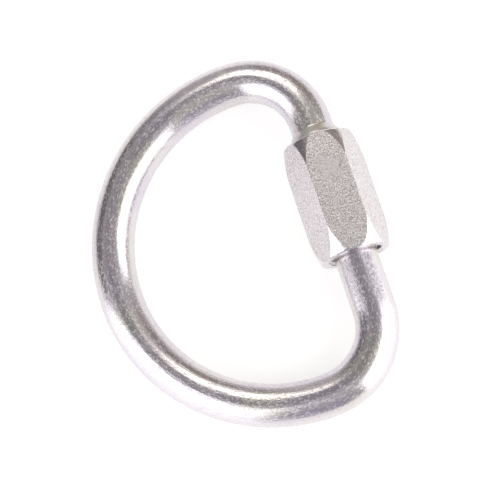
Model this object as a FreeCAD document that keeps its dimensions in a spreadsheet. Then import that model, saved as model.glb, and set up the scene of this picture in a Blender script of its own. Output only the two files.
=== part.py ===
import FreeCAD, Part
import math
import os
import Sketcher

# A D-shaped screw link lying flat: one bent steel bar with a gap in its straight side, and a long
# hexagonal sleeve nut that closes the gap. +Y runs along the nut's axis towards the short threaded
# end, -X points at the middle of the round crown and +Z is up. Millimetres and degrees.

SHEET = "dims"
DRIVING = {
    "bar_diameter": 10.0,        # plain round bar
    "crown_radius": 38.4,        # centreline of the big arc
    "crown_offset": 16.35,       # nut axis to the centre of that arc
    "corner_radius": 15.5,       # centreline of the two corners
    "thread_diameter": 12.0,     # M12 on the thickened ends of the bar
    "thread_pitch": 1.5,
    "thread_depth": 0.92,
    "thread_runout": 0.5,        # plain thread-sized stretch next to each collar
    "tip_bevel": 1.0,            # lead-in at each threaded tip
    "short_tip": 13.25,          # where the short threaded end stops
    "short_collar": 19.0,        # where it starts to taper back to the bar
    "long_collar": -8.2,         # the same on the long threaded end
    "collar_taper": 1.8,
    "gate_gap": 10.0,            # clear opening between the two tips
    "nut_flats": 16.0,           # across flats
    "nut_round": 0.4,            # radius along the six long corners
    "nut_turn": -10.6,           # how far the closed nut is turned about its axis
    "nut_top": 18.15,
    "nut_length": 28.5,
    "nut_end_radius": 8.2,       # where the slow end crown meets the end round
    "nut_end_slope": 13.5,       # slope of the crown to the axis at that place
    "nut_crown": 40.0,           # radius of the crown's curve
    "nut_end_round": 0.6,
    "bore_radius": 6.08,         # a running fit over the thread crests
    "bore_groove": 0.5,          # depth of the helical groove in the bore
    "mouth_bevel": 0.3,
    "cutter_overlap": 0.1,       # how far a groove's cutter stands out of the surface
}
SIN_60 = math.sin(math.radians(60))
TAN_30 = math.tan(math.radians(30))   # flank of a 60 degree thread
ROOT_SHARE = 1 / 8                    # flat at the root of the thread, in pitches


def derived(size):
    """The sizes that follow from the driving ones."""
    corner = size["nut_flats"] / 2 / SIN_60
    round_centre = corner - size["nut_round"] / SIN_60
    nut_reach = round_centre * math.cos(math.radians(size["nut_turn"])) + size["nut_round"]
    crown_reach = size["crown_offset"] + size["crown_radius"] + size["bar_diameter"] / 2
    inner_bend = size["crown_radius"] - size["corner_radius"]
    corner_shift = size["crown_offset"] - size["corner_radius"]
    slope = math.radians(size["nut_end_slope"])
    round_height = size["nut_end_round"] * (1 - math.sin(slope))
    crown_centre = size["nut_end_radius"] - size["nut_crown"] * math.cos(slope)
    crown_start = math.acos((corner - crown_centre) / size["nut_crown"])
    crown_height = size["nut_crown"] * (math.sin(slope) - math.sin(crown_start))
    return {
        "long_tip": size["short_tip"] - size["gate_gap"],
        "corner_height": math.sqrt(inner_bend ** 2 - corner_shift ** 2),
        "nut_corner": corner,
        "nut_face_radius": size["nut_end_radius"] - size["nut_end_round"] * math.cos(slope),
        "nut_round_height": round_height,
        "nut_crown_height": round_height + crown_height,
        "axis_x": (crown_reach - nut_reach) / 2,   # the origin is the middle of the whole link
    }


size = dict(DRIVING)
size.update(derived(DRIVING))
doc = FreeCAD.newDocument("screw_link")
sheet = doc.addObject("Spreadsheet::Sheet", SHEET)
for row, (name, value) in enumerate(size.items(), start=1):
    sheet.set(f"A{row}", name)
    sheet.set(f"B{row}", f"{value:.6f}")
    sheet.setAlias(f"B{row}", name)
doc.recompute()


def total(**terms):
    """Multiples of sheet cells added up, as a value and as the expression that gives it."""
    value = sum(factor * size[name] for name, factor in terms.items())
    expression = " + ".join(f"{factor} * {SHEET}.{name}" for name, factor in terms.items())
    return value, expression


def makeBody(label):
    """A body whose own Y axis is the nut's axis."""
    body = doc.addObject("PartDesign::Body", label)
    body.Label = label
    body.setExpression("Placement.Base.x", f"{SHEET}.axis_x")
    return body


def makeSketch(body, name, role="XY_Plane"):
    sketch = body.newObject("Sketcher::SketchObject", name)
    plane = next(item for item in body.Origin.OriginFeatures if item.Role == role)
    sketch.AttachmentSupport = [(plane, "")]
    sketch.MapMode = "FlatFace"
    return sketch


def dimension(sketch, kind, args, amount):
    """One driving dimension, bound to the sheet."""
    value, expression = amount
    index = sketch.addConstraint(Sketcher.Constraint(kind, *args, value))
    sketch.setExpression(f"Constraints[{index}]", expression)


def closedOutline(sketch, corners, arcs=()):
    """A closed outline with both coordinates of every corner bound to the sheet.

    arcs pairs a corner's number with the radius of the arc from it to the next corner, which
    bulges away from the nut's axis; all other edges are straight.
    """
    radii = dict(arcs)
    count = len(corners)
    points = [FreeCAD.Vector(x[0], y[0], 0) for x, y in corners]
    first_end = [1] * count   # a line starts at its own corner, an arc may start at the next
    for i, here in enumerate(points):
        there = points[(i + 1) % count]
        if i not in radii:
            sketch.addGeometry(Part.LineSegment(here, there), False)
            continue
        radius = radii[i][0]
        chord = there - here
        inward = FreeCAD.Vector(-abs(chord.y), chord.x * math.copysign(1, chord.y), 0).normalize()
        depth = math.sqrt(radius ** 2 - (chord.Length / 2) ** 2)
        centre = here + chord / 2 + inward * depth
        angles = [math.atan2(point.y - centre.y, point.x - centre.x) for point in (here, there)]
        first_end[i] = 1 if angles[0] < angles[1] else 2
        circle = Part.Circle(centre, FreeCAD.Vector(0, 0, 1), radius)
        sketch.addGeometry(Part.ArcOfCircle(circle, min(angles), max(angles)), False)
    for i in range(count):
        following = (i + 1) % count
        ends = (i, 3 - first_end[i], following, first_end[following])
        sketch.addConstraint(Sketcher.Constraint("Coincident", *ends))
    for i, (x, y) in enumerate(corners):
        for kind, axis, amount in (("DistanceX", -2, x), ("DistanceY", -1, y)):
            if amount[0] == 0:
                sketch.addConstraint(Sketcher.Constraint("PointOnObject", i, first_end[i], axis))
            else:
                dimension(sketch, kind, (-1, 1, i, first_end[i]), amount)
    for i, radius in arcs:
        dimension(sketch, "Radius", (i,), radius)


def turned(body, kind, name, sketch):
    """A Revolution or Groove round the nut's axis."""
    feature = body.newObject(f"PartDesign::{kind}", name)
    feature.Profile = sketch
    feature.ReferenceAxis = (sketch, ["V_Axis"])
    feature.Angle = 360.0
    return feature


def threadGroove(body, name, root, mouth, start, height):
    """A right-hand V groove that climbs along the nut's axis; root and mouth are radii."""
    sketch = makeSketch(body, name + "_profile")
    half_root = size["thread_pitch"] * ROOT_SHARE / 2
    half_mouth = half_root + abs(mouth[0] - root[0]) * TAN_30
    corners = [(root, -half_root), (root, half_root), (mouth, half_mouth), (mouth, -half_mouth)]
    closedOutline(sketch, [
        (radius, (start[0] + along, f"{start[1]} + {along:.6f}")) for radius, along in corners
    ])
    groove = body.newObject("PartDesign::SubtractiveHelix", name)
    groove.Profile = sketch
    groove.ReferenceAxis = (sketch, ["V_Axis"])
    groove.Mode = "pitch-height-angle"
    groove.setExpression("Pitch", f"{SHEET}.thread_pitch")
    groove.setExpression("Height", height[1])
    return groove


def barPath(body):
    """Centreline of the bar: straight, corner, crown, corner, straight, all tangent."""
    sketch = makeSketch(body, "bar_path")
    corner, crown, height = size["corner_radius"], size["crown_radius"], size["corner_height"]
    meeting = math.atan2(height, size["crown_offset"] - corner)   # where corner and crown join
    up = FreeCAD.Vector(0, 0, 1)
    upper = Part.Circle(FreeCAD.Vector(-corner, height, 0), up, corner)
    lower = Part.Circle(FreeCAD.Vector(-corner, -height, 0), up, corner)
    middle = Part.Circle(FreeCAD.Vector(-size["crown_offset"], 0, 0), up, crown)
    ends = [FreeCAD.Vector(0, y, 0) for y in (size["short_tip"], height, -height, size["long_tip"])]
    sketch.addGeometry(Part.LineSegment(ends[0], ends[1]), False)
    sketch.addGeometry(Part.ArcOfCircle(upper, 0, meeting), False)
    sketch.addGeometry(Part.ArcOfCircle(middle, meeting, 2 * math.pi - meeting), False)
    sketch.addGeometry(Part.ArcOfCircle(lower, -meeting, 0), False)
    sketch.addGeometry(Part.LineSegment(ends[2], ends[3]), False)
    for before in range(4):
        sketch.addConstraint(Sketcher.Constraint("Tangent", before, 2, before + 1, 1))
    for line in (0, 4):
        for end in (1, 2):
            sketch.addConstraint(Sketcher.Constraint("PointOnObject", line, end, -2))
    sketch.addConstraint(Sketcher.Constraint("PointOnObject", 2, 3, -1))
    dimension(sketch, "Radius", (1,), total(corner_radius=1))
    dimension(sketch, "Radius", (3,), total(corner_radius=1))
    dimension(sketch, "Radius", (2,), total(crown_radius=1))
    dimension(sketch, "DistanceX", (2, 3, -1, 1), total(crown_offset=1))
    dimension(sketch, "DistanceY", (-1, 1, 0, 1), total(short_tip=1))
    dimension(sketch, "DistanceY", (-1, 1, 4, 2), total(long_tip=1))
    return sketch


def barSection(body):
    """The bar's round section, square to the path at the short tip."""
    sketch = makeSketch(body, "bar_section", "XZ_Plane")
    sketch.setExpression("AttachmentOffset.Base.z", f"-{SHEET}.short_tip")
    middle, up = FreeCAD.Vector(0, 0, 0), FreeCAD.Vector(0, 0, 1)
    sketch.addGeometry(Part.Circle(middle, up, size["bar_diameter"] / 2), False)
    sketch.addConstraint(Sketcher.Constraint("Coincident", 0, 3, -1, 1))
    dimension(sketch, "Radius", (0,), total(bar_diameter=0.5))
    return sketch


def threadedEnd(body, name, tip, collar, way):
    """Thickened end with a bevelled tip; way is +1 where the bar carries on towards +Y."""
    sketch = makeSketch(body, name + "_outline")
    crest = total(thread_diameter=0.5)
    closedOutline(sketch, [
        (total(), total(**{tip: 1})),
        (total(thread_diameter=0.5, tip_bevel=-1), total(**{tip: 1})),
        (crest, total(**{tip: 1, "tip_bevel": way})),
        (crest, total(**{collar: 1})),
        (total(bar_diameter=0.5), total(**{collar: 1, "collar_taper": way})),
        (total(), total(**{collar: 1, "collar_taper": way})),
    ])
    return turned(body, "Revolution", name, sketch)


def linkBar():
    """One round bar bent to a D, its two ends thickened and threaded, facing across the gap."""
    body = makeBody("link_bar")
    path = barPath(body)
    section = barSection(body)
    bar = body.newObject("PartDesign::AdditivePipe", "bent_bar")
    bar.Profile = section
    bar.Spine = path
    threadedEnd(body, "short_end", "short_tip", "short_collar", 1)
    threadedEnd(body, "long_end", "long_tip", "long_collar", -1)
    root = total(thread_diameter=0.5, thread_depth=-1)
    mouth = total(thread_diameter=0.5, cutter_overlap=1)
    doc.recompute()
    threadGroove(
        body, "short_thread", root, mouth,
        total(short_tip=1, thread_pitch=-1),
        total(short_collar=1, short_tip=-1, thread_pitch=1, thread_runout=-1),
    )
    threadGroove(
        body, "long_thread", root, mouth,
        total(long_collar=1, thread_runout=1),
        total(long_tip=1, long_collar=-1, thread_pitch=1, thread_runout=-1),
    )
    return body


def hexagonBlank(body):
    """Hexagonal bar stock as long as the nut, with its six long corners rounded."""
    sketch = makeSketch(body, "hexagon", "XZ_Plane")
    sketch.setExpression("AttachmentOffset.Base.z", f"-{SHEET}.nut_top")
    sketch.setExpression("AttachmentOffset.Rotation.Angle", f"{SHEET}.nut_turn")
    centre, up = FreeCAD.Vector(0, 0, 0), FreeCAD.Vector(0, 0, 1)
    radius = size["nut_corner"]
    turns = [math.radians(60 * k) for k in range(6)]
    corners = [FreeCAD.Vector(radius * math.cos(a), radius * math.sin(a), 0) for a in turns]
    for k in range(6):
        sketch.addGeometry(Part.LineSegment(corners[k], corners[(k + 1) % 6]), False)
    sketch.addGeometry(Part.Circle(centre, up, radius), True)
    sketch.addConstraint(Sketcher.Constraint("Coincident", 6, 3, -1, 1))
    for k in range(6):
        sketch.addConstraint(Sketcher.Constraint("Coincident", k, 2, (k + 1) % 6, 1))
        sketch.addConstraint(Sketcher.Constraint("PointOnObject", k, 1, 6))
    for k in range(1, 6):
        sketch.addConstraint(Sketcher.Constraint("Equal", 0, k))
    sketch.addConstraint(Sketcher.Constraint("PointOnObject", 0, 1, -1))
    dimension(sketch, "Radius", (6,), total(nut_corner=1))
    blank = body.newObject("PartDesign::Pad", "hexagon_blank")
    blank.Profile = sketch
    blank.setExpression("Length", f"{SHEET}.nut_length")
    doc.recompute()
    long_edges = [
        f"Edge{number}"
        for number, edge in enumerate(blank.Shape.Edges, start=1)
        if abs(edge.Length - size["nut_length"]) < 0.001
    ]
    rounded = body.newObject("PartDesign::Fillet", "rounded_corners")
    rounded.Base = (blank, long_edges)
    rounded.setExpression("Radius", f"{SHEET}.nut_round")
    return rounded


def sleeveNut():
    """Long hexagonal nut, its corners turned down slowly towards each end, with a threaded bore."""
    body = makeBody("sleeve_nut")
    hexagonBlank(body)
    top, bottom = {"nut_top": 1}, {"nut_top": 1, "nut_length": -1}
    for name, face, inward in (("upper", top, -1), ("lower", bottom, 1)):
        sketch = makeSketch(body, name + "_end_outline")
        closedOutline(sketch, [
            (total(nut_face_radius=1), total(**face)),
            (total(nut_corner=1), total(**face)),
            (total(nut_corner=1), total(**face, nut_crown_height=inward)),
            (total(nut_end_radius=1), total(**face, nut_round_height=inward)),
        ], [(2, total(nut_crown=1)), (3, total(nut_end_round=1))])
        turned(body, "Groove", name + "_end", sketch)
    wide, narrow = total(bore_radius=1, mouth_bevel=1), total(bore_radius=1)
    bore = makeSketch(body, "bore_outline")
    closedOutline(bore, [
        (total(), total(**top)),
        (wide, total(**top)),
        (narrow, total(**top, mouth_bevel=-1)),
        (narrow, total(**bottom, mouth_bevel=1)),
        (wide, total(**bottom)),
        (total(), total(**bottom)),
    ])
    turned(body, "Groove", "bore", bore)
    doc.recompute()
    threadGroove(
        body, "bore_thread",
        total(bore_radius=1, bore_groove=1),
        total(bore_radius=1, cutter_overlap=-1),
        total(nut_top=1, nut_length=-1, thread_pitch=-1),
        total(nut_length=1, thread_pitch=2),
    )
    return body


def checked(body):
    """The body's one closed solid, after making sure that nothing behind it failed."""
    for item in [*body.Group, body]:
        if "Invalid" in item.State or "Error" in item.State:
            raise RuntimeError(f"{body.Label}: {item.Name} failed")
    shape = body.Shape
    if shape.isNull() or not shape.isValid() or len(shape.Solids) != 1:
        raise RuntimeError(f"{body.Label} is not one valid solid")
    return shape


bodies = [linkBar(), sleeveNut()]
doc.recompute()
os.makedirs("parts", exist_ok=True)
shapes = {body.Label: checked(body) for body in bodies}
for label, shape in shapes.items():
    shape.exportStep(f"parts/{label}.step")
    print(label, f"{shape.Volume:.1f} mm3")
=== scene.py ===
import math

import bpy
from mathutils import Matrix, Vector


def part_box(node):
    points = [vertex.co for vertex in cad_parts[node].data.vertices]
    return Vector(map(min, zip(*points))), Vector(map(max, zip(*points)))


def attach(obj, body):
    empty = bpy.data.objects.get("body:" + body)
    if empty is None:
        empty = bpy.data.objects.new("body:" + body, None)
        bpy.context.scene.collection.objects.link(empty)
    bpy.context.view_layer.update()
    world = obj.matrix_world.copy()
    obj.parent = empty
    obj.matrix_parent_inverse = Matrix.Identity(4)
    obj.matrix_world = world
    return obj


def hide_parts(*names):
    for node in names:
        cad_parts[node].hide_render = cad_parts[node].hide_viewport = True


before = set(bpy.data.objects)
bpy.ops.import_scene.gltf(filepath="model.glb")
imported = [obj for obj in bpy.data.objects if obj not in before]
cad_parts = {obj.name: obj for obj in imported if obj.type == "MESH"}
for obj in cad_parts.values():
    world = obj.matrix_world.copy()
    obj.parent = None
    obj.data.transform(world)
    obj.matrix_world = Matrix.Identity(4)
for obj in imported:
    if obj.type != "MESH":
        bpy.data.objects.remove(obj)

mm = 0.001
scene = bpy.context.scene
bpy.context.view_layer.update()   # the CAD model's own box, before any piece is added


def linear(hexColour):   # sRGB hex to the linear colour that sockets take
    channels = [int(hexColour[i:i + 2], 16) / 255 for i in (1, 3, 5)]
    return (*(c / 12.92 if c <= 0.04045 else ((c + 0.055) / 1.055) ** 2.4 for c in channels), 1.0)


def socketOf(sockets, name):   # by number, or the one in use by name
    if isinstance(name, int):
        return sockets[name]
    return next(socket for socket in sockets if socket.name == name and socket.enabled)


def addNode(tree, kind, inputs=None, **settings):   # an input is a value, or a (node, socket) pair to link
    node = tree.nodes.new(kind)
    for name, value in settings.items():
        setattr(node, name, value)
    for name, value in (inputs or {}).items():
        if isinstance(value, tuple) and isinstance(value[0], bpy.types.Node):
            tree.links.new(socketOf(value[0].outputs, value[1]), socketOf(node.inputs, name))
        else:
            socketOf(node.inputs, name).default_value = value
    return node


def newMaterial(name):
    material = bpy.data.materials.new(name)
    material.use_nodes = True
    material.node_tree.nodes.clear()
    return material, material.node_tree


def smoothMin(a, b, blend):   # the smaller of two, with the corner between them rounded
    gap = max(blend - abs(a - b), 0.0)
    return min(a, b) - gap * gap / (4 * blend)


def storeLayer(piece, name, kind, values):   # a value for each point, for the piece's own patterns
    layer = piece.data.attributes.new(name, kind, "POINT")
    if kind == "FLOAT_VECTOR":
        layer.data.foreach_set("vector", [c for value in values for c in value])
    else:
        layer.data.foreach_set("value", values)


def ringMesh(name, rings, closed=False):   # skin over rings of equal count; open ones get caps
    count = len(rings[0])
    vertices = [point for ring in rings for point in ring]
    faces = []
    for row in range(len(rings) if closed else len(rings) - 1):
        low, high = row * count, (row + 1) % len(rings) * count
        for i in range(count):
            j = (i + 1) % count
            faces.append((low + i, high + i, high + j, low + j))
    if not closed:
        last = (len(rings) - 1) * count
        faces.append(tuple(range(count)))
        faces.append(tuple(last + i for i in reversed(range(count))))
    mesh = bpy.data.meshes.new(name)
    mesh.from_pydata(vertices, [], faces)
    mesh.polygons.foreach_set("use_smooth", [True] * len(faces))
    mesh.update()
    piece = bpy.data.objects.new(name, mesh)
    scene.collection.objects.link(piece)
    return piece


thread = {
    "pitch": 1.5 * mm,
    "depth": 0.92 * mm,
    "rootHalf": 0.09 * mm,      # half the width of the flat at the root
    "flankSlope": math.tan(math.radians(30)),
}


def grooveDepth(y, turn, depth, shift):   # right-hand V groove round the thread axis, turn from +X to +Z
    across = abs((y / thread["pitch"] + turn / (2 * math.pi) + shift) % 1.0 - 0.5) * thread["pitch"]
    flank = depth * thread["flankSlope"]
    return depth * min(max((thread["rootHalf"] + flank - across) / flank, 0.0), 1.0)


# The thread axis, from the CAD model's own boxes
barLow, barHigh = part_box("link_bar")
nutLow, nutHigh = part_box("sleeve_nut")
thread["crest"] = barHigh.z   # the threads are the thickest part of the bar
axisX = barHigh.x - thread["crest"]

# The bent bar: one round bar from thread to thread, with a helical thread cut on each end
bar = {
    "radius": 5.0 * mm,
    "corner": 15.5 * mm,        # centre-line radius of the two tight bends
    "shortTip": 13.25 * mm,     # y of the two ends and of the collars where their threads stop
    "shortCollar": 19.0 * mm,
    "longTip": 3.25 * mm,
    "longCollar": -8.2 * mm,
    "taper": 1.8 * mm,
    "taperRound": 0.10 * mm,
    "taperRows": 18,
    "taperMargin": 0.3,         # share of the taper that its close rows run on past it
    "tipBevel": 1.0 * mm,
    "runout": 0.9 * mm,         # plain shank between the thread's end and the collar
    "fadeOut": 0.9 * mm,        # length over which the groove runs out
    "around": 112,              # points round the bar
    "threadStep": 0.075 * mm,
    "bendStep": 0.9 * mm,
    "faceInset": 0.97,          # size of the ring that keeps an end face flat
}
barRadius = bar["radius"]
crownRadius = barHigh.y - barRadius
crownX = barLow.x + barRadius + crownRadius
print("frame: thread axis at x =", round(axisX / mm, 2), "mm, crown radius", round(crownRadius / mm, 2), "mm")


def barSpans():   # straight, bend, crown, bend, straight: (centre or start, radius, first turn, length)
    cornerX = axisX - bar["corner"]
    cornerY = math.sqrt((crownRadius - bar["corner"]) ** 2 - (cornerX - crownX) ** 2)
    meet = math.atan2(cornerY, cornerX - crownX)
    return (
        ((axisX, bar["shortTip"]), None, 0.0, cornerY - bar["shortTip"]),
        ((cornerX, cornerY), bar["corner"], 0.0, bar["corner"] * meet),
        ((crownX, 0.0), crownRadius, meet, crownRadius * 2 * (math.pi - meet)),
        ((cornerX, -cornerY), bar["corner"], -meet, bar["corner"] * meet),
        ((axisX, -cornerY), None, 0.0, bar["longTip"] + cornerY),
    )


def barPlace(run, spans):   # centre of the bar and its heading, this far along it from the short tip
    for index, (centre, radius, first, length) in enumerate(spans):
        if run <= length or index == len(spans) - 1:
            break
        run -= length
    if radius is None:
        return centre[0], centre[1] + run, 0.0, 1.0
    c, s = math.cos(first + run / radius), math.sin(first + run / radius)
    return centre[0] + radius * c, centre[1] + radius * s, -s, c


def endRows(collar):   # rows from a tip to the plain bar: close on the thread, closer on the taper
    margin = bar["taper"] * bar["taperMargin"]
    steps = round((collar - margin) / bar["threadStep"])
    rows = [(collar - margin) * i / steps for i in range(steps)]
    span = bar["taper"] + 2 * margin
    rows += [collar - margin + span * i / bar["taperRows"] for i in range(bar["taperRows"] + 1)]
    return rows


def endRadius(run, collar, y, turn):   # radius of a threaded end, this far from its tip
    crest = thread["crest"]
    cone = crest - (run - collar) * (crest - barRadius) / bar["taper"]
    shank = -smoothMin(-cone, -barRadius, bar["taperRound"])
    shank = smoothMin(shank, crest, bar["taperRound"])
    stop = collar - bar["runout"]
    fade = min(max((stop - run) / bar["fadeOut"] + 0.5, 0.0), 1.0)
    groove = fade * grooveDepth(y, turn, thread["depth"], 0.0)
    return min(shank - groove, crest - bar["tipBevel"] + run)


def buildBar():
    spans = barSpans()
    total = sum(span[3] for span in spans)
    shortCollar = bar["shortCollar"] - bar["shortTip"]
    longCollar = bar["longTip"] - bar["longCollar"]
    shortRows, longRows = endRows(shortCollar), endRows(longCollar)
    plainStart, plainEnd = shortRows[-1], total - longRows[-1]
    plainSteps = round((plainEnd - plainStart) / bar["bendStep"])
    runs = list(shortRows)
    runs += [plainStart + (plainEnd - plainStart) * i / plainSteps for i in range(1, plainSteps)]
    runs += [total - row for row in reversed(longRows)]

    rings, spaces, turned = [], [], []
    for run in runs:
        x, y, headX, headY = barPlace(run, spans)
        ring, space = [], []
        for i in range(bar["around"]):
            turn = 2 * math.pi * i / bar["around"]
            if run < plainStart:
                radius = endRadius(run, shortCollar, y, turn)
            elif run > plainEnd:
                radius = endRadius(total - run, longCollar, y, turn)
            else:
                radius = barRadius
            c, s = radius * math.cos(turn), radius * math.sin(turn)
            ring.append((x + c * headY, y - c * headX, s))
            space.append((c, s, run))
        rings.append(ring)
        spaces.append(space)
        onShort = shortCollar - bar["runout"] < run < shortCollar + bar["taper"]
        onLong = longCollar - bar["runout"] < total - run < longCollar + bar["taper"]
        turned.append(1.0 if onShort or onLong else 0.0)
    inset = bar["faceInset"]
    for end in (0, -1):   # a ring just inside each tip keeps its end face flat
        place = 0 if end == 0 else len(rings)
        inner = [(axisX + (x - axisX) * inset, y, z * inset) for x, y, z in rings[end]]
        space = list(spaces[end])
        rings.insert(place, inner)
        spaces.insert(place, space)
        turned.insert(place, 0.0)
    piece = ringMesh("bent_bar", rings)
    storeLayer(piece, "barSpace", "FLOAT_VECTOR", [value for space in spaces for value in space])
    storeLayer(piece, "turned", "FLOAT", [share for share in turned for _ in range(bar["around"])])
    return piece


barPiece = buildBar()
print("bent bar:", len(barPiece.data.vertices), "points")

# The sleeve nut: a long hexagon with rounded corners, crowned ends and a threaded bore
nut = {
    "halfFlats": 8.0 * mm,
    "cornerRound": 0.4 * mm,
    "turn": -10.6,              # degrees that the hexagon is turned about its axis
    "endRadius": 8.2 * mm,      # the flat end face's edge, were it sharp
    "endRound": 0.6 * mm,
    "endSlope": 13.5,           # degrees that the crown leans in at the end face
    "crown": 40.0 * mm,
    "bore": 6.08 * mm,
    "boreGroove": 0.5 * mm,
    "mouthBevel": 0.3 * mm,
    "edge": 0.05 * mm,          # half the width of a worn edge
    "flatSteps": 24,
    "cornerSteps": 8,
    "endSteps": 26,
    "endCrowding": 1.4,         # how much closer its rows are at the end face
    "flatStarts": (0.5 * mm, 1.2 * mm),   # rows that follow the edge, on the flats
    "shankSteps": 12,
    "boreStep": 0.12 * mm,
}


def nutColumns():   # (turn, radius) of each point round the hexagon
    half, fillet = nut["halfFlats"], nut["cornerRound"]
    flatHalf = (half - fillet) * math.tan(math.radians(30))
    cornerCentre = (half - fillet) / math.cos(math.radians(30))
    columns = []
    for side in range(6):
        middle = math.radians(nut["turn"] + 30 + 60 * side)
        for i in range(nut["flatSteps"]):
            across = flatHalf * math.sin(math.pi * (i / nut["flatSteps"] - 0.5))
            columns.append((middle + math.atan2(across, half), math.hypot(half, across)))
        for i in range(nut["cornerSteps"]):
            lean = math.radians(-30 + 60 * i / nut["cornerSteps"])
            x, z = cornerCentre + fillet * math.cos(lean), fillet * math.sin(lean)
            columns.append((middle + math.radians(30) + math.atan2(z, x), math.hypot(x, z)))
    return columns


def endProfile(length):   # (radius, depth) at this length along the turned end, from its face outwards
    slope = math.radians(nut["endSlope"])
    roundRadius, crown = nut["endRound"], nut["crown"]
    roundLength = roundRadius * (math.pi / 2 - slope)
    faceRadius = nut["endRadius"] - roundRadius * math.cos(slope)
    if length < roundLength:
        lean = length / roundRadius
        return faceRadius + roundRadius * math.sin(lean), roundRadius * (1 - math.cos(lean))
    lean = slope - (length - roundLength) / crown
    radius = nut["endRadius"] + crown * (math.cos(lean) - math.cos(slope))
    return radius, roundRadius * (1 - math.sin(slope)) + crown * (math.sin(slope) - math.sin(lean))


def crossing(radius):   # length along the turned end at which it reaches this radius
    low, high = 0.0, nut["crown"] * math.radians(nut["endSlope"])
    for _ in range(40):   # halvings, far below any size here
        middle = (low + high) / 2
        if endProfile(middle)[0] < radius:
            low = middle
        else:
            high = middle
    return high


def buildNut():
    columns = nutColumns()
    top, bottom = nutHigh.y, nutLow.y
    faceEdge = endProfile(0.0)[0]
    mouth = nut["bore"] + nut["mouthBevel"]

    def ringOf(places):   # places: (radius, y) for each column
        return [
            (axisX + radius * math.cos(turn), y, radius * math.sin(turn))
            for (turn, _), (radius, y) in zip(columns, places)
        ]

    # one end, from the mouth to the flats, as (radius, depth) for each column
    endRings = [[(mouth, 0.0)] * len(columns), [(faceEdge - nut["edge"], 0.0)] * len(columns)]
    crossings = [crossing(radius) for _, radius in columns]
    for i in range(nut["endSteps"]):
        part = (i / (nut["endSteps"] - 1)) ** nut["endCrowding"]
        endRings.append([endProfile((length - nut["edge"]) * part) for length in crossings])
    endRings.append([(radius, endProfile(length)[1]) for (_, radius), length in zip(columns, crossings)])
    firstFlat = len(endRings)
    for step in (nut["edge"], *nut["flatStarts"]):
        endRings.append([(radius, depth + step) for (_, radius), (_, depth) in zip(columns, endRings[-1])])

    rings = [ringOf([(radius, bottom + depth) for radius, depth in places]) for places in endRings]
    shank = endRings[-1]
    for i in range(1, nut["shankSteps"]):
        part = i / nut["shankSteps"]
        rings.append(ringOf([(r, bottom + d + (top - bottom - 2 * d) * part) for r, d in shank]))
    rings += [ringOf([(r, top - depth) for r, depth in places]) for places in reversed(endRings)]
    flatRows = range(firstFlat, len(rings) - firstFlat)

    length = top - bottom
    boreSteps = round(length / nut["boreStep"])
    for i in range(1, boreSteps):
        depth = length * i / boreSteps
        bevel = mouth - min(depth, length - depth)
        places = []
        for turn, _ in columns:
            groove = grooveDepth(top - depth, turn, nut["boreGroove"], 0.5)
            places.append((max(nut["bore"] + groove, bevel), top - depth))
        rings.append(ringOf(places))

    piece = ringMesh("threaded_sleeve", rings, closed=True)
    onFlat = [1.0 if row in flatRows else 0.0 for row in range(len(rings))]
    storeLayer(piece, "onFlat", "FLOAT", [share for share in onFlat for _ in columns])
    storeLayer(piece, "nutSpace", "FLOAT_VECTOR", [point for ring in rings for point in ring])
    return piece


nutPiece = buildNut()
print("sleeve nut:", len(nutPiece.data.vertices), "points")

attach(barPiece, "bar")
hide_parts("link_bar")
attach(nutPiece, "nut")
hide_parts("sleeve_nut")

# Bright zinc plate over drawn round steel bar, bent cold and barrel plated: metal white, with soft
# reflections that fine dull crystals and long die lines break up
drawnBar = {
    "zinc": "#d8d3d8",
    "violet": "#d3ced7",        # the passivate's film colours, very faint
    "straw": "#d6d3ce",
    "filmSpread": (0.34, 0.66),
    "filmPatch": 6.0 * mm,
    "filmStretch": 3.0,         # drawn out along the bar, like the other patterns
    "roughness": 0.17,
    "frosted": 0.42,            # roughness of the dullest crystals
    "frostedShare": (0.55, 0.85),
    "speck": 0.27 * mm,         # crystal size; the real ones, near 0.05 mm, would not show
    "speckStretch": 2.0,
    "grain": 0.36 * mm,         # unevenness of the plate, coarser than life for the same reason
    "grainStretch": 2.6,
    "grainHeight": 0.028 * mm,
    "grainDetail": (3.0, 0.6),
    "streaked": 0.10,           # roughness added along the dullest die lines
    "streakedShare": (0.48, 0.66),
    "drawWidth": 0.9 * mm,      # lines left by the drawing die
    "drawLength": 14.0 * mm,
    "drawHeight": 0.050 * mm,
    "turned": 0.36,             # roughness of the turned collars
}


def patternSpace(tree, source, size, stretch=1.0):   # cells of this size, longer along the last axis
    scale = (1 / size, 1 / size, 1 / (size * stretch))
    return addNode(tree, "ShaderNodeMapping", {"Vector": source, "Scale": scale})


def noiseOf(tree, space, detail, roughness=0.5):
    return addNode(tree, "ShaderNodeTexNoise", {
        "Vector": (space, "Vector"), "Scale": 1.0, "Detail": detail, "Roughness": roughness,
    })


def crystalsOf(tree, space):   # packed cells, each with its own value in Color
    return addNode(tree, "ShaderNodeTexVoronoi", {"Vector": (space, "Vector"), "Scale": 1.0})


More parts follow.
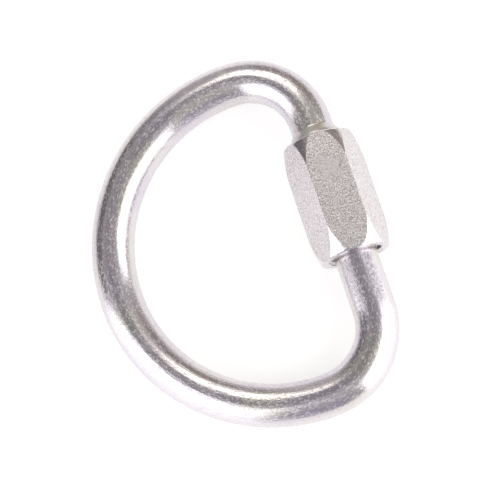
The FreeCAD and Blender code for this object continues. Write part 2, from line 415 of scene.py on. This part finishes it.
def zincOnDrawnBar():
    material, tree = newMaterial("bright zinc plate on drawn steel bar")
    along = addNode(tree, "ShaderNodeAttribute", attribute_name="barSpace")
    source = (along, "Vector")
    crystals = crystalsOf(tree, patternSpace(tree, source, drawnBar["speck"], drawnBar["speckStretch"]))
    grainSpace = patternSpace(tree, source, drawnBar["grain"], drawnBar["grainStretch"])
    grain = noiseOf(tree, grainSpace, *drawnBar["grainDetail"])
    drawStretch = drawnBar["drawLength"] / drawnBar["drawWidth"]
    draw = noiseOf(tree, patternSpace(tree, source, drawnBar["drawWidth"], drawStretch), 2.0)
    film = noiseOf(tree, patternSpace(tree, source, drawnBar["filmPatch"], drawnBar["filmStretch"]), 2.0)

    tint = addNode(tree, "ShaderNodeValToRGB", {"Fac": (film, "Fac")})
    stops = tint.color_ramp.elements
    stops[0].position, stops[1].position = drawnBar["filmSpread"]
    stops[0].color, stops[1].color = linear(drawnBar["violet"]), linear(drawnBar["straw"])
    stops.new(sum(drawnBar["filmSpread"]) / 2).color = linear(drawnBar["zinc"])
    frostedFrom, frostedTo = drawnBar["frostedShare"]
    specks = addNode(tree, "ShaderNodeMapRange", {
        "Value": (crystals, "Color"), "From Min": frostedFrom, "From Max": frostedTo,
        "To Min": drawnBar["roughness"], "To Max": drawnBar["frosted"],
    })
    streakedFrom, streakedTo = drawnBar["streakedShare"]
    streaks = addNode(tree, "ShaderNodeMapRange", {
        "Value": (draw, "Fac"), "From Min": streakedFrom, "From Max": streakedTo,
        "To Max": drawnBar["streaked"],
    })
    dulled = addNode(tree, "ShaderNodeMath", {0: (specks, "Result"), 1: (streaks, "Result")})
    collar = addNode(tree, "ShaderNodeAttribute", attribute_name="turned")
    rough = addNode(tree, "ShaderNodeMix", {
        "Factor": (collar, "Fac"), "A": (dulled, "Value"), "B": drawnBar["turned"],
    })
    lines = addNode(tree, "ShaderNodeBump", {"Height": (draw, "Fac"), "Distance": drawnBar["drawHeight"]})
    sparkle = addNode(tree, "ShaderNodeBump", {
        "Height": (grain, "Fac"), "Distance": drawnBar["grainHeight"], "Normal": (lines, "Normal"),
    })
    shader = addNode(tree, "ShaderNodeBsdfPrincipled", {
        "Base Color": (tint, "Color"), "Metallic": 1.0,
        "Roughness": (rough, "Result"), "Normal": (sparkle, "Normal"),
    })
    addNode(tree, "ShaderNodeOutputMaterial", {"Surface": (shader, "BSDF")})
    return material


# Bright zinc plate over a hexagon pressed from steel: flats with a coarse sandy sparkle, smooth
# turned ends, and a patch rubbed dull on one flat
pressedNut = {
    "zinc": "#e1dcdf",
    "shade": "#c0bbbe",         # painted shade, mixed in where the sand bump's pits are
    "pitShare": (0.36, 0.52),
    "roughness": 0.14,
    "frosted": 0.30,            # roughness of the dullest crystals
    "frostedShare": (0.2, 0.9),
    "speck": 0.36 * mm,         # crystal size, coarser than life so that it shows
    "sand": 0.42 * mm,          # scale pits left by pressing, real ones 0.1 to 0.4 mm across
    "sandHeight": 0.13 * mm,
    "sandDetail": (3.0, 0.65),
    "turnedSand": 0.12,         # share of it that is left on the turned ends
    "blotch": 1.0 * mm,
    "rubbedRoughness": 0.42,
    "rubbedSand": 0.5,          # share left on the rubbed patch
    "rubbedRadius": 3.4 * mm,
    "rubbedFlat": 1,            # flat with the rubbed patch, counted from the first above +X
    "rubbedDepth": 8.6 * mm,    # its distance below the top end
    "rubbedRagged": 5.0 * mm,   # how far its edge wanders
    "rubbedFade": 1.2 * mm,
}


def zincOnPressedNut():
    material, tree = newMaterial("bright zinc plate on pressed steel nut")
    place = addNode(tree, "ShaderNodeAttribute", attribute_name="nutSpace")
    onFlat = addNode(tree, "ShaderNodeAttribute", attribute_name="onFlat")
    source = (place, "Vector")
    crystals = crystalsOf(tree, patternSpace(tree, source, pressedNut["speck"]))
    sand = noiseOf(tree, patternSpace(tree, source, pressedNut["sand"]), *pressedNut["sandDetail"])
    blotch = noiseOf(tree, patternSpace(tree, source, pressedNut["blotch"]), 2.0)

    flatTurn = math.radians(nut["turn"] + 30 + 60 * pressedNut["rubbedFlat"])
    rubbedPlace = (
        axisX + nut["halfFlats"] * math.cos(flatTurn),
        nutHigh.y - pressedNut["rubbedDepth"],
        nut["halfFlats"] * math.sin(flatTurn),
    )
    away = addNode(tree, "ShaderNodeVectorMath", {0: source, 1: rubbedPlace}, operation="DISTANCE")
    ragged = addNode(tree, "ShaderNodeMath", {
        0: (blotch, "Fac"), 1: pressedNut["rubbedRagged"], 2: (away, "Value"),
    }, operation="MULTIPLY_ADD")
    edge = pressedNut["rubbedRadius"] + pressedNut["rubbedRagged"] / 2
    rubbed = addNode(tree, "ShaderNodeMapRange", {
        "Value": (ragged, "Value"), "From Min": edge, "From Max": edge - pressedNut["rubbedFade"],
    })
    sandShare = addNode(tree, "ShaderNodeMapRange", {
        "Value": (rubbed, "Result"), "To Min": 1.0, "To Max": pressedNut["rubbedSand"],
    })
    frostedFrom, frostedTo = pressedNut["frostedShare"]
    specks = addNode(tree, "ShaderNodeMapRange", {
        "Value": (crystals, "Color"), "From Min": frostedFrom, "From Max": frostedTo,
        "To Min": pressedNut["roughness"], "To Max": pressedNut["frosted"],
    })
    rough = addNode(tree, "ShaderNodeMix", {
        "Factor": (rubbed, "Result"), "A": (specks, "Result"), "B": pressedNut["rubbedRoughness"],
    })
    byFlat = addNode(tree, "ShaderNodeMapRange", {
        "Value": (onFlat, "Fac"), "To Min": pressedNut["turnedSand"],
    })
    strength = addNode(tree, "ShaderNodeMath", {
        0: (sandShare, "Result"), 1: (byFlat, "Result"),
    }, operation="MULTIPLY")
    bump = addNode(tree, "ShaderNodeBump", {
        "Strength": (strength, "Value"), "Height": (sand, "Fac"), "Distance": pressedNut["sandHeight"],
    })
    # Painted shade: the colour darkens towards the shade colour wherever the sand noise is low, in its pits,
    # on every face of the nut
    pitFrom, pitTo = pressedNut["pitShare"]
    pits = addNode(tree, "ShaderNodeMapRange", {
        "Value": (sand, "Fac"), "From Min": pitFrom, "From Max": pitTo,
    })
    tint = addNode(tree, "ShaderNodeMix", {
        "Factor": (pits, "Result"), "A": linear(pressedNut["shade"]), "B": linear(pressedNut["zinc"]),
    }, data_type="RGBA")
    shader = addNode(tree, "ShaderNodeBsdfPrincipled", {
        "Base Color": (tint, "Result"), "Metallic": 1.0,
        "Roughness": (rough, "Result"), "Normal": (bump, "Normal"),
    })
    addNode(tree, "ShaderNodeOutputMaterial", {"Surface": (shader, "BSDF")})
    return material


barPiece.data.materials.append(zincOnDrawnBar())
nutPiece.data.materials.append(zincOnPressedNut())
print("materials: two zinc plates")

# The table: the link lies on the nut's lowest corner and the underside of the crown
studio = {
    "floorHalf": 4.0,
    "floorGap": 0.02 * mm,
    "floorColour": "#e4e4e3",
    "floorGlow": 0.45,          # keeps the paper white where the link shades it
    "floorRoughness": 0.3,
}
lamps = (   # two softboxes that stand by the table, and a small warm one held behind the link
    {
        "name": "softboxLeft", "azimuth": -157, "distance": 0.55, "width": 0.74, "height": 1.05,
        "foot": 0.06, "radiance": 1.75,
    },
    {
        "name": "softboxRight", "azimuth": -28, "distance": 0.60, "width": 0.90, "height": 0.96,
        "foot": -0.06, "radiance": 1.9,
    },
    {
        "name": "warmLamp", "azimuth": 77, "distance": 0.60, "elevation": 50, "roll": 35,
        "width": 0.42, "height": 0.28, "radiance": 1.45, "colour": "#fffcec",
    },
)


def restingPlane():   # a point on the plane under the nut's lowest corner and the crown, and its normal
    cornerRound = nut["cornerRound"]
    reach = (nut["halfFlats"] - cornerRound) / math.cos(math.radians(30))
    lowest = math.radians(nut["turn"] + 300)   # the lowest of the six corners
    nutCorner = Vector((axisX + reach * math.cos(lowest), 0, reach * math.sin(lowest)))
    crownSide = Vector((barLow.x + barRadius, 0, 0))
    across = nutCorner - crownSide
    lean = math.atan2(across.z, across.x) + math.asin((barRadius - cornerRound) / across.length)
    normal = Vector((-math.sin(lean), 0, math.cos(lean)))
    return crownSide - normal * barRadius, normal


floorPoint, floorNormal = restingPlane()
print("floor: normal", [round(c, 4) for c in floorNormal])
half = studio["floorHalf"]
floorCorners = [(-half, -half, 0), (half, -half, 0), (half, half, 0), (-half, half, 0)]
floorMesh = bpy.data.meshes.new("table")
floorMesh.from_pydata(floorCorners, [], [(0, 1, 2, 3)])
floorPiece = bpy.data.objects.new("table", floorMesh)
scene.collection.objects.link(floorPiece)
floorPiece.location = floorPoint - floorNormal * studio["floorGap"]
floorPiece.rotation_euler = floorNormal.to_track_quat("Z", "Y").to_euler()


def mattPaper():   # white paper sweep, matt and even
    material, tree = newMaterial("matt white paper")
    shader = addNode(tree, "ShaderNodeBsdfPrincipled", {
        "Base Color": linear(studio["floorColour"]), "Roughness": studio["floorRoughness"],
        "Emission Color": linear("#ffffff"), "Emission Strength": studio["floorGlow"],
    })
    addNode(tree, "ShaderNodeOutputMaterial", {"Surface": (shader, "BSDF")})
    return material


floorMesh.materials.append(mattPaper())


def addLamp(spec):   # a flat panel facing the link, upright by the table unless it has an elevation
    azimuth, elevation = math.radians(spec["azimuth"]), math.radians(spec.get("elevation", 0))
    roll = math.radians(spec.get("roll", 0))
    level = math.cos(elevation)
    away = Vector((level * math.cos(azimuth), level * math.sin(azimuth), math.sin(elevation)))
    light = bpy.data.lights.new(spec["name"], "AREA")
    light.shape = "ELLIPSE" if "elevation" in spec else "RECTANGLE"
    light.size, light.size_y = spec["width"], spec["height"]
    light.energy = spec["radiance"] * math.pi * spec["width"] * spec["height"]
    light.color = linear(spec.get("colour", "#ffffff"))[:3]
    panel = bpy.data.objects.new(spec["name"], light)
    panel.location = away * spec["distance"]
    if "elevation" not in spec:
        panel.location.z += spec["foot"] + spec["height"] / 2
    facing = away.to_track_quat("Z", "Y").to_matrix() @ Matrix.Rotation(roll, 3, "Z")
    panel.rotation_euler = facing.to_euler()
    panel.visible_camera = False
    scene.collection.objects.link(panel)


for lamp in lamps:
    addLamp(lamp)


room = {
    "walls": "#bab7b5",
    "zones": (   # (way it lies, colour, cosine where it starts, cosine where it is full)
        ((-0.72, 0.59, 0.36), "#757276", 0.82, 0.98),
        ((0.60, 0.77, 0.20), "#9b928c", 0.80, 0.97),
        ((-0.10, 0.26, 0.96), "#949196", 0.85, 0.98),
        ((-0.10, -0.97, 0.20), "#a8a1b2", 0.80, 0.98),
    ),
    "backdrop": "#fbfbfa",
}


def makeRoom():   # grey room for the reflections, pale backdrop for the eye
    world = bpy.data.worlds.new("studio")
    world.use_nodes = True
    scene.world = world
    tree = world.node_tree
    tree.nodes.clear()
    way = addNode(tree, "ShaderNodeTexCoord")
    colour = linear(room["walls"])
    for direction, zoneColour, start, full in room["zones"]:
        towards = addNode(tree, "ShaderNodeVectorMath", {
            0: (way, "Generated"), 1: direction,
        }, operation="DOT_PRODUCT")
        share = addNode(tree, "ShaderNodeMapRange", {
            "Value": (towards, "Value"), "From Min": start, "From Max": full,
        }, interpolation_type="SMOOTHSTEP")
        zone = addNode(tree, "ShaderNodeMix", {
            "Factor": (share, "Result"), "A": colour, "B": linear(zoneColour),
        }, data_type="RGBA")
        colour = (zone, "Result")
    eye = addNode(tree, "ShaderNodeLightPath")
    seen = addNode(tree, "ShaderNodeMix", {
        "Factor": (eye, "Is Camera Ray"), "A": colour, "B": linear(room["backdrop"]),
    }, data_type="RGBA")
    light = addNode(tree, "ShaderNodeBackground", {"Color": (seen, "Result"), "Strength": 1.0})
    addNode(tree, "ShaderNodeOutputWorld", {"Surface": (light, "Background")})


makeRoom()

# The camera looks steeply down from the front right, rolled so that the nut leans across the view
view = {
    "place": (0.068294, -0.115534, 0.462931),
    "right": (0.92915803, -0.30582638, -0.20769107),
    "up": (0.34366857, 0.92159382, 0.18043487),
    "lens": 151.06,
    "sensor": 36.0,
    "nearest": 0.01,
    "farthest": 20.0,
}
camera = bpy.data.objects.new("camera", bpy.data.cameras.new("camera"))
camera.data.lens = view["lens"]
camera.data.sensor_width = view["sensor"]
camera.data.clip_start = view["nearest"]
camera.data.clip_end = view["farthest"]
sideways, upwards = Vector(view["right"]), Vector(view["up"])
turned = Matrix((sideways, upwards, sideways.cross(upwards))).transposed()
camera.matrix_world = Matrix.Translation(view["place"]) @ turned.to_4x4()
scene.collection.objects.link(camera)
scene.camera = camera
scene.view_settings.view_transform = "Standard"
print("studio: floor, three lights and camera")
